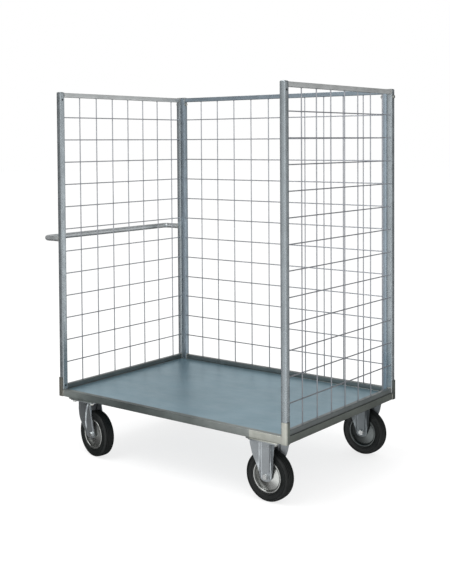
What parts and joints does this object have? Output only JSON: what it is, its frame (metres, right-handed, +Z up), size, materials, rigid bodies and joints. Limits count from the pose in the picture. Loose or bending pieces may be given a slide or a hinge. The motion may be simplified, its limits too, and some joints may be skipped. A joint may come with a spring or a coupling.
{
  "type": "roll cage container",
  "caption": "Steel platform trolley with mesh sides on both ends and the rear, open front and top, U-shaped push handle, swivel castors at the handle end and rigid castors at the other.",
  "frame": {"origin": "on the floor under the centre of the overall box, castors standing at z = 0", "axes": "+Z up, +X along the platform from the handle end to the rigid castors, +Y from the open loading side to the rear mesh side"},
  "size_m": [1.3432, 0.8516, 1.6133],
  "materials": {
    "frame_zinc": "zinc plated",
    "deck_zinc": "zinc coated sheet, blue-grey",
    "panel_zinc": "zinc plated",
    "wire_zinc": "zinc plated",
    "handle_zinc": "zinc plated",
    "bolt_zinc": "bright zinc plated",
    "castor_zinc": "bright zinc plated",
    "rim_zinc": "zinc plated",
    "tyre_rubber": "satin black"
  },
  "bodies": {
    "platform": {"frame_rail_front": "frame_zinc", "frame_rail_rear": "frame_zinc", "frame_rail_left": "frame_zinc", "frame_rail_right": "frame_zinc", "cross_bearer_left_outer": "frame_zinc", "cross_bearer_left_inner": "frame_zinc", "cross_bearer_right_inner": "frame_zinc", "cross_bearer_right_outer": "frame_zinc", "castor_pad_front_left": "frame_zinc", "castor_pad_rear_left": "frame_zinc", "castor_pad_front_right": "frame_zinc", "castor_pad_rear_right": "frame_zinc", "deck_sheet": "deck_zinc", "corner_angle_front_left": "frame_zinc", "corner_angle_front_right": "frame_zinc", "corner_angle_rear_left": "frame_zinc", "corner_angle_rear_right": "frame_zinc", "left_post_front": "panel_zinc", "left_post_rear": "panel_zinc", "left_post_cap_front": "panel_zinc", "left_post_cap_rear": "panel_zinc", "left_top_rail": "panel_zinc", "left_bottom_rail": "panel_zinc", "left_mesh": "wire_zinc", "right_post_front": "panel_zinc", "right_post_rear": "panel_zinc", "right_post_cap_front": "panel_zinc", "right_post_cap_rear": "panel_zinc", "right_top_rail": "panel_zinc", "right_bottom_rail": "panel_zinc", "right_mesh": "wire_zinc", "rear_post_left": "panel_zinc", "rear_post_right": "panel_zinc", "rear_post_cap_left": "panel_zinc", "rear_post_cap_right": "panel_zinc", "rear_top_rail": "panel_zinc", "rear_bottom_rail": "panel_zinc", "rear_mesh": "wire_zinc", "tie_bolt_left": "bolt_zinc", "tie_bolt_right": "bolt_zinc", "push_handle": "handle_zinc", "swivel_plate_front_left": "castor_zinc", "swivel_plate_rear_left": "castor_zinc", "rigid_fork_front_right": "castor_zinc", "rigid_fork_rear_right": "castor_zinc", "axle_bolt_front_right": "bolt_zinc", "axle_bolt_rear_right": "bolt_zinc"},
    "fork_front_left": {"swivel_fork_front_left": "castor_zinc", "axle_bolt_front_left": "bolt_zinc"},
    "fork_rear_left": {"swivel_fork_rear_left": "castor_zinc", "axle_bolt_rear_left": "bolt_zinc"},
    "wheel_front_left": {"wheel_rim_front_left": "rim_zinc", "wheel_tyre_front_left": "tyre_rubber"},
    "wheel_rear_left": {"wheel_rim_rear_left": "rim_zinc", "wheel_tyre_rear_left": "tyre_rubber"},
    "wheel_front_right": {"wheel_rim_front_right": "rim_zinc", "wheel_tyre_front_right": "tyre_rubber"},
    "wheel_rear_right": {"wheel_rim_rear_right": "rim_zinc", "wheel_tyre_rear_right": "tyre_rubber"}
  },
  "joints": [
    {"name": "swivel_front_left", "type": "hinge", "parent": "platform", "child": "fork_front_left", "pos_m": [-0.43665, -0.364, 0.2363], "axis": [0, 0, 1], "continuous": true},
    {"name": "swivel_rear_left", "type": "hinge", "parent": "platform", "child": "fork_rear_left", "pos_m": [-0.43665, 0.364, 0.2363], "axis": [0, 0, 1], "continuous": true},
    {"name": "roll_front_left", "type": "hinge", "parent": "fork_front_left", "child": "wheel_front_left", "pos_m": [-0.38347, -0.37338, 0.1], "axis": [0.1736, 0.9848, 0], "continuous": true},
    {"name": "roll_rear_left", "type": "hinge", "parent": "fork_rear_left", "child": "wheel_rear_left", "pos_m": [-0.38347, 0.35462, 0.1], "axis": [0.1736, 0.9848, 0], "continuous": true},
    {"name": "roll_front_right", "type": "hinge", "parent": "platform", "child": "wheel_front_right", "pos_m": [0.54835, -0.364, 0.1], "axis": [0, 1, 0], "continuous": true},
    {"name": "roll_rear_right", "type": "hinge", "parent": "platform", "child": "wheel_rear_right", "pos_m": [0.54835, 0.364, 0.1], "axis": [0, 1, 0], "continuous": true}
  ]
}
